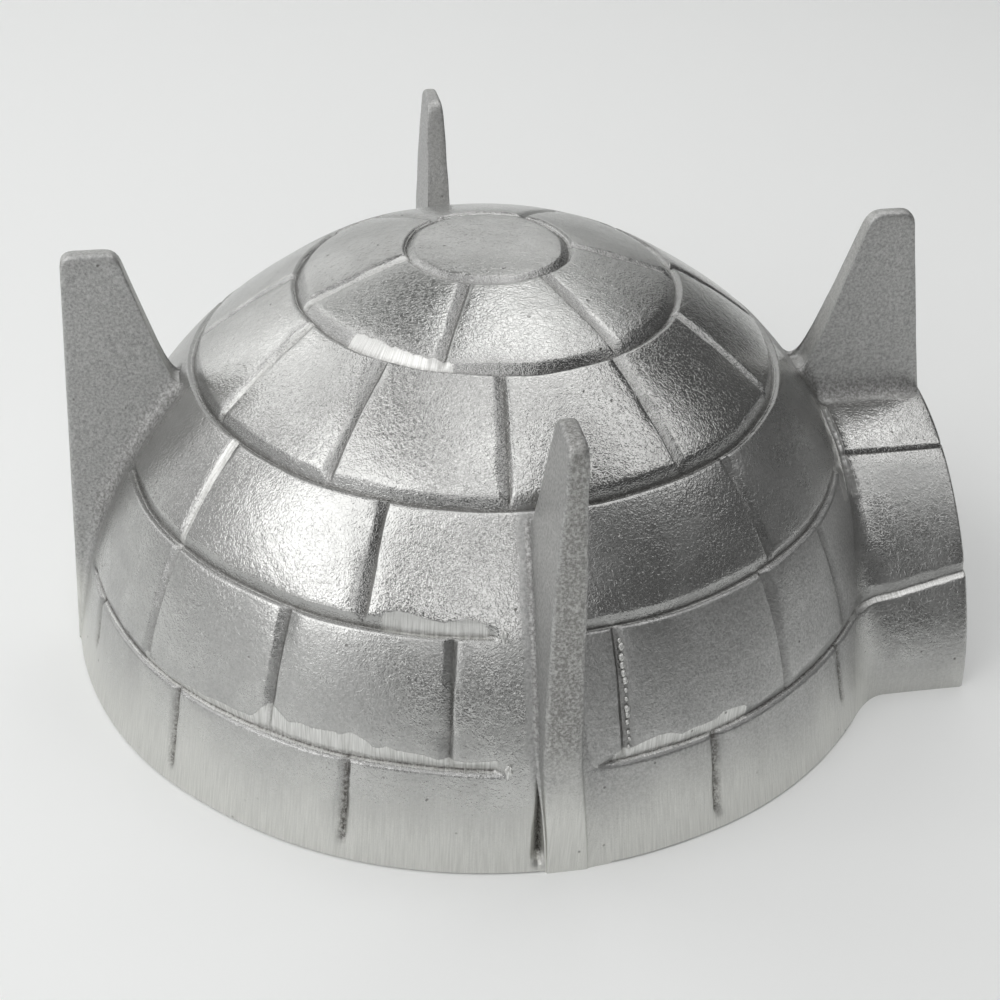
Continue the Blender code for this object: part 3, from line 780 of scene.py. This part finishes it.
# the tunnel's leg stands on its crown, and its toe runs out on the dome
tunnelLeg = legValues(0.0, (6.0, 6.0), (6.0, 6.0))
tunnelLeg.update({"lean": 0.165, "tipLength": 11.2 * mm, "toe": 6.0 * mm})
foot = np.array([tunnelEnd - 0.1 * mm, tunnel["radius"] - 2.2 * mm])
outerTip = np.array([tunnelEnd - tunnelLeg["lean"] * (legTop - tunnel["radius"]), legTop])
rimPath, toeTurn = rimOfLeg(foot, outerTip, tunnelLeg["tipLength"], tunnelLeg["toe"], (22, 16))
share = travelled(rimPath) / travelled(rimPath)[-1]
crownX = domeAtArch(np.zeros(1), archRadius(np.zeros(1)))[0]
crownTurn = np.arctan2(crownX, tunnel["radius"])
basePath = np.concatenate([
    [[tunnelEnd - 0.6 * mm, tunnel["radius"] - 2.6 * mm], [tunnelEnd - 2 * mm, tunnel["radius"]]],
    [[crownX, tunnel["radius"]]], meridian(np.linspace(crownTurn - 0.01, toeTurn, 8))])
travel = travelled(basePath)
onBase = np.interp(share, [0, 0.06, 0.55, 1.0], [0, 0.08 * travel[-1], 0.72 * travel[-1], travel[-1]])
basePath = np.stack([np.interp(onBase, travel, basePath[:, axis]) for axis in (0, 1)], -1)
legPieces["leg_tunnel"] = makeLeg("tunnel_leg", tunnelLeg, rimPath, basePath)
print("cake mould: legs", {name: len(piece.data.polygons) for name, piece in legPieces.items()})


def makeBead(name, down, azimuth, size, stretch, torn):
    # A drop of metal left on a lip: a ball, drawn out up and down, torn by so much and half sunk
    polar, turn = np.meshgrid(np.linspace(0, np.pi, 15), np.linspace(0, 2 * np.pi, 25), indexing="ij")
    lumps = np.sin(3 * turn + 9 * down) * np.sin(2 * polar)
    lumps = lumps + np.sin(5 * polar + 7 * azimuth) * np.sin(2 * turn + polar)
    ball = domePlace(polar, turn, size * (1 + torn * lumps * np.sin(polar)))
    ball[:, -1] = ball[:, 0]
    centre = domePlace(down, azimuth, domeReach(down, 0.0) - 0.3 * size)
    masks = {mask: np.zeros((1, 1)) for mask in ("grimeAndShade", "groove", "matt", "brushed")}
    masks["filedAndHighlight"] = np.ones((1, 1))
    return gridPiece(name, centre + ball * [0.85, 0.85, stretch], np.stack([turn, polar], -1) * size, masks)


# a row of beads in one joint, smaller from the eleventh on, and torn bits where two rings end
beads = {"joint": -81.4, "aside": 1.0 * mm, "count": 14, "large": 10, "size": 0.8 * mm,
         "from": np.radians(60.8), "to": np.radians(74.6)}
burrs = [(3, -96.9, 0.9 * mm, 1.9), (4, -96.2, 0.95 * mm, 2.0)]   # ring, azimuth, size, stretch
beadPieces = []
for number in range(beads["count"]):
    jitter = np.random.default_rng(900 + number).uniform(-1, 1, 3)
    down = beads["from"] + (beads["to"] - beads["from"]) * number / (beads["count"] - 1) + 0.004 * jitter[2]
    aside = (beads["aside"] + 0.2 * mm * jitter[0]) / (dome["radius"] * np.sin(down))
    size = beads["size"] * (1 + 0.25 * jitter[1]) * (1.0 if number < beads["large"] else 0.7)
    name = "joint_bead_%02d" % (number + 1)
    beadPieces.append(makeBead(name, down, np.radians(beads["joint"]) + aside, size, 1.2, 0.12))
for number, (ring, azimuth, size, stretch) in enumerate(burrs):
    name = "groove_burr_%02d" % (number + 1)
    beadPieces.append(makeBead(name, dome["rings"][ring], np.radians(azimuth), size, stretch, 0.42))
print("cake mould: beads", len(beadPieces))

# Materials

def linear(hexColour):
    # An sRGB hex colour as the linear values that shaders take
    parts = np.array([int(hexColour[i:i + 2], 16) for i in (1, 3, 5)]) / 255
    return (*np.where(parts <= 0.04045, parts / 12.92, ((parts + 0.055) / 1.055) ** 2.4), 1.0)


def addNode(tree, kind, settings=None, **inputs):
    # Adds a node: settings are its own properties, inputs are values or sockets by name or number
    node = tree.nodes.new(kind)
    for key, value in (settings or {}).items():
        setattr(node, key, value)
    for key, value in inputs.items():
        numbered = key.startswith("in") and key[2:].isdigit()
        socket = node.inputs[int(key[2:]) if numbered else key.replace("_", " ")]
        if isinstance(value, bpy.types.NodeSocket):
            tree.links.new(value, socket)
        else:
            socket.default_value = value
    return node


def combine(tree, how, a, b, clamp=False):
    # One sum, product or the like of two values or sockets
    return addNode(tree, "ShaderNodeMath", {"operation": how, "use_clamp": clamp}, in0=a, in1=b).outputs[0]


def spread(tree, value, fromLow, fromHigh, toLow=0.0, toHigh=1.0):
    # Maps a range of values onto another, with its ends held
    return addNode(tree, "ShaderNodeMapRange", {"clamp": True}, Value=value, From_Min=fromLow,
                   From_Max=fromHigh, To_Min=toLow, To_Max=toHigh).outputs[0]


casting = {
    # each finish between two tones, light and dark
    "skin": ("#c8c8c6", "#b8b8b6"), "matt": ("#c4c4c3", "#9c9c9b"),
    # the light filed tone also paints highlights, and the dark tone also paints shade across the legs'
    # fillets
    "brushed": ("#dfdfdb", "#d0d0cc"), "filedAndHighlight": ("#eaeae8", "#c6c6c3"),
    "groove": "#969695", "dirtAndShade": "#4d4843",
    "skinRoughness": 0.17, "mattRoughness": 0.52, "filedRoughness": 0.38,
    # sizes and heights: orange peel, wormy ridges left by the sand, and its finer grain
    "peel": 2.4 * mm, "peelHeight": 0.10 * mm, "grain": 0.80 * mm, "grainHeight": 0.13 * mm,
    "fineGrain": 0.32 * mm, "fineHeight": 0.022 * mm, "grooveHeight": 0.05 * mm,
    "speckle": 0.7 * mm, "patches": 16 * mm,                 # small and large patches of the tone
    "strokeWidth": 0.38 * mm, "strokeLength": 9 * mm, "strokeHeight": 0.035 * mm,
    "pitSpacing": 3.1 * mm, "pitDepth": 0.15 * mm,
}


def castAluminium(name, look):
    # Aluminium as it leaves a sand mould: a bright skin of orange-peel grain and small pits, grey
    # and matt on and beside the legs, and stroked by a file where it was dressed
    # Its light filed tone also paints highlights on groove lips and some joints, and its dark tone paints
    # shade across the legs' fillets.
    material = bpy.data.materials.new(name)
    material.use_nodes = True
    tree = material.node_tree
    tree.nodes.clear()

    def plus(a, b, clamp=False):
        # The sum of two
        return combine(tree, "ADD", a, b, clamp)

    def times(a, b):
        # The product of two
        return combine(tree, "MULTIPLY", a, b)

    def noise(vector, size, detail, roughness, distortion=0.0):
        # Cloudy noise with lumps of a size
        return addNode(tree, "ShaderNodeTexNoise", Vector=vector, Scale=1 / size, Detail=detail,
                       Roughness=roughness, Distortion=distortion).outputs["Fac"]

    def mixColour(share, first, second):
        # From the first colour to the second as share goes from 0 to 1
        mix = addNode(tree, "ShaderNodeMix", {"data_type": "RGBA"}, in0=share, in6=first, in7=second)
        return mix.outputs[2]

    def mixValue(share, first, second):
        # The same for numbers
        mix = addNode(tree, "ShaderNodeMix", {"data_type": "FLOAT"}, in0=share, in2=first, in3=second)
        return mix.outputs[0]

    place = addNode(tree, "ShaderNodeTexCoord").outputs["Object"]
    skin = addNode(tree, "ShaderNodeUVMap", {"uv_map": "skin"}).outputs[0]
    masks = {mask: addNode(tree, "ShaderNodeAttribute", {"attribute_name": mask}).outputs["Fac"]
             for mask in ("filedAndHighlight", "brushed", "grimeAndShade", "groove", "matt")}
    peel = noise(place, look["peel"], 1.0, 0.5)
    grain = noise(place, look["grain"], 1.0, 0.5, 1.2)
    fine = noise(place, look["fineGrain"], 1.0, 0.6)
    speckle = noise(place, look["speckle"], 3.0, 0.7)
    broad = noise(place, look["patches"], 4.0, 0.6)
    perStroke = (1 / look["strokeWidth"], 1 / look["strokeLength"], 1)
    stretched = addNode(tree, "ShaderNodeMapping", Vector=skin, Scale=perStroke).outputs[0]
    strokes = noise(stretched, 1.0, 3.0, 0.6)
    # a pit in the middle of one cell in ten or so
    perPit = 1 / look["pitSpacing"]
    cells = addNode(tree, "ShaderNodeTexVoronoi", {"feature": "F1"}, Vector=place, Scale=perPit).outputs
    chance = addNode(tree, "ShaderNodeSeparateColor", in0=cells["Color"]).outputs[0]
    pit = times(spread(tree, cells["Distance"], 0.05, 0.15, 1.0, 0.0), spread(tree, chance, 0.90, 0.93))
    # the masks get ragged borders from the grain
    ragged = times(combine(tree, "SUBTRACT", plus(fine, broad), 1.0), 0.7)

    def frayed(mask):
        # The mask with the grain added, but only where there is some of it
        return plus(mask, times(ragged, spread(tree, mask, 0.0, 0.25)))

    # crisp: filed metal, and painted highlights on the grooves' lower lips and some joints
    crisp = spread(tree, frayed(masks["filedAndHighlight"]), 0.40, 0.62)
    brushed = spread(tree, frayed(masks["brushed"]), 0.05, 1.0)
    filedAndHighlight = combine(tree, "MAXIMUM", crisp, brushed)
    matt = spread(tree, frayed(masks["matt"]), 0.10, 0.90)
    bare = combine(tree, "SUBTRACT", 1.0, filedAndHighlight)
    # height in metres: grain on the skin, less of it where matt or filed, and file strokes
    lumps = plus(times(grain, look["grainHeight"]), times(fine, look["fineHeight"]))
    lumps = plus(lumps, times(peel, look["peelHeight"]))
    lumps = times(lumps, times(spread(tree, bare, 0, 1, 0.25, 1.0), spread(tree, matt, 0, 1, 1.0, 0.7)))
    rough = times(fine, times(masks["groove"], look["grooveHeight"]))
    lines = times(times(strokes, look["strokeHeight"]), filedAndHighlight)
    height = combine(tree, "SUBTRACT", plus(plus(lumps, rough), lines), times(pit, look["pitDepth"]))
    bump = addNode(tree, "ShaderNodeBump", Height=height, Strength=1.0, Distance=1.0).outputs[0]
    tones = {}
    for kind, pattern in (("skin", broad), ("matt", speckle), ("brushed", strokes), ("filedAndHighlight", strokes)):
        light, dark = look[kind]
        tones[kind] = mixColour(spread(tree, pattern, 0.35, 0.65), linear(light), linear(dark))
    tone = mixColour(matt, tones["skin"], tones["matt"])
    tone = mixColour(times(masks["groove"], 0.5), tone, linear(look["groove"]))
    tone = mixColour(brushed, tone, tones["brushed"])
    tone = mixColour(crisp, tone, tones["filedAndHighlight"])
    # the dark tone: dirt in the grooves and on the front leg's edge, painted shade across the legs' fillets,
    # and darkened pits
    dirtAndShade = times(masks["grimeAndShade"], spread(tree, speckle, 0.35, 0.60, 0.2, 0.9))
    dirtAndShade = combine(tree, "MAXIMUM", dirtAndShade, times(pit, 0.6))
    tone = mixColour(dirtAndShade, tone, linear(look["dirtAndShade"]))
    gloss = mixValue(matt, look["skinRoughness"], look["mattRoughness"])
    gloss = mixValue(filedAndHighlight, gloss, look["filedRoughness"])
    gloss = plus(gloss, times(combine(tree, "SUBTRACT", broad, 0.5), 0.15))
    gloss = plus(gloss, times(dirtAndShade, 0.25), True)
    metal = addNode(tree, "ShaderNodeBsdfPrincipled", Base_Color=tone, Metallic=1.0, Roughness=gloss,
                    Normal=bump)
    addNode(tree, "ShaderNodeOutputMaterial", Surface=metal.outputs[0])
    return material


skinMetal = castAluminium("sandCastAluminium", casting)
for piece in [domePiece, tunnelPiece, *legPieces.values(), *beadPieces]:
    piece.data.materials.append(skinMetal)
print("cake mould: materials")

# The pieces stand for the solids

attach(domePiece, "root")
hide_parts("dome_shell")
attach(tunnelPiece, "root")
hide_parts("entrance_tunnel")
for piece in beadPieces:
    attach(piece, "root")
for name, piece in legPieces.items():
    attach(piece, "root")
    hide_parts(name)

# Floor, light and camera

studio = {
    "floorColour": "#f6f7f6", "floorRoughness": 0.8, "world": "#ffffff", "worldStrength": 0.11,
    "floorHalf": 1.6, "floorFront": -2.2, "wallAt": 1.1, "bendRadius": 0.7, "bendSteps": 24, "wallTop": 2.4,
}
# a sweep: floor, quarter-round bend and wall, as a profile of y and z drawn out along X
quarter = np.radians(np.linspace(0, 90, studio["bendSteps"]))
bendY = studio["wallAt"] + studio["bendRadius"] * np.sin(quarter)
bendZ = studio["bendRadius"] * (1 - np.cos(quarter))
sweepY = np.concatenate([[studio["floorFront"]], bendY, bendY[-1:]])
sweepZ = np.concatenate([[0.0], bendZ, [studio["wallTop"]]])
sweepEdges = [np.stack([np.full_like(sweepY, side * studio["floorHalf"]), sweepY, sweepZ], -1)
              for side in (-1, 1)]
sweepPoints = np.stack(sweepEdges, 1)
sweepIndex = np.arange(len(sweepY) * 2).reshape(-1, 2)
sweepFaces = np.stack([sweepIndex[:-1, 0], sweepIndex[:-1, 1], sweepIndex[1:, 1], sweepIndex[1:, 0]], -1)
sweepMesh = bpy.data.meshes.new("sweep")
sweepMesh.from_pydata(sweepPoints.reshape(-1, 3).tolist(), [], sweepFaces.tolist())
sweepMesh.shade_smooth()
sweep = bpy.data.objects.new("sweep", sweepMesh)
bpy.context.scene.collection.objects.link(sweep)
paper = bpy.data.materials.new("mattPaleCard")
paper.use_nodes = True
card = paper.node_tree.nodes["Principled BSDF"].inputs
card["Base Color"].default_value = linear(studio["floorColour"])
card["Roughness"].default_value = studio["floorRoughness"]
sweepMesh.materials.append(paper)

lamps = {
    # soft boxes and lit walls: where each one stands, its width and height and its power
    "wallBehind": {"at": (-0.35, 1.55, 0.65), "size": (3.3, 1.2), "watts": 6.0},
    "wallLeft": {"at": (-1.55, 0.35, 0.6), "size": (2.9, 1.1), "watts": 4.7},
    "boxLeft": {"at": (-0.95, -0.42, 0.95), "size": (1.05, 1.05), "watts": 5.8},
    "boxLeftBehind": {"at": (-0.8, 0.6, 1.05), "size": (0.8, 0.8), "watts": 2.2},
    "boxLeftLow": {"at": (-1.25, -0.95, 0.45), "size": (0.8, 0.7), "watts": 1.6},
    "boxAbove": {"at": (0.1, 0.1, 1.45), "size": (1.1, 1.1), "watts": 3.4},
    "boxAboveBehind": {"at": (0.4, 0.6, 1.2), "size": (0.8, 0.8), "watts": 2.0},
    "boxAboveFront": {"at": (-0.1, -0.65, 1.35), "size": (0.8, 0.8), "watts": 1.9},
    "boxFront": {"at": (-0.25, -1.5, 0.9), "size": (1.0, 0.8), "watts": 3.1},
    "boxRight": {"at": (0.9, -0.2, 1.1), "size": (0.7, 0.7), "watts": 1.6},
}
for lampName, lamp in lamps.items():
    light = bpy.data.lights.new(lampName, "AREA")
    light.shape = "RECTANGLE"
    light.size, light.size_y = lamp["size"]
    light.energy = lamp["watts"]
    holder = bpy.data.objects.new(lampName, light)
    aim = Vector((axisX, 0, 0.05)) - Vector(lamp["at"])
    holder.matrix_world = Matrix.Translation(lamp["at"]) @ aim.to_track_quat("-Z", "Y").to_matrix().to_4x4()
    bpy.context.scene.collection.objects.link(holder)

world = bpy.data.worlds.new("studioRoom")
world.use_nodes = True
bpy.context.scene.world = world
sky = world.node_tree.nodes["Background"].inputs
sky["Color"].default_value = linear(studio["world"])
sky["Strength"].default_value = studio["worldStrength"]

# the photograph's own angle: the camera's place, its backward and upward directions and its lens
camera = {"at": (-0.07585, -0.39288, 0.29113), "back": (-0.1596, -0.8227, 0.5456),
          "up": (0.0761, 0.5408, 0.8377), "lens": 63.0, "sensor": 36.0, "nearest": 0.01}
back = Vector(camera["back"]).normalized()
right = Vector(camera["up"]).cross(back).normalized()
view = bpy.data.objects.new("camera", bpy.data.cameras.new("camera"))
view.data.lens = camera["lens"]
view.data.sensor_width = camera["sensor"]
view.data.clip_start = camera["nearest"]
turned = Matrix((right, back.cross(right), back)).transposed().to_4x4()
view.matrix_world = Matrix.Translation(camera["at"]) @ turned
bpy.context.scene.collection.objects.link(view)
bpy.context.scene.camera = view
bpy.context.scene.view_settings.view_transform = "Standard"
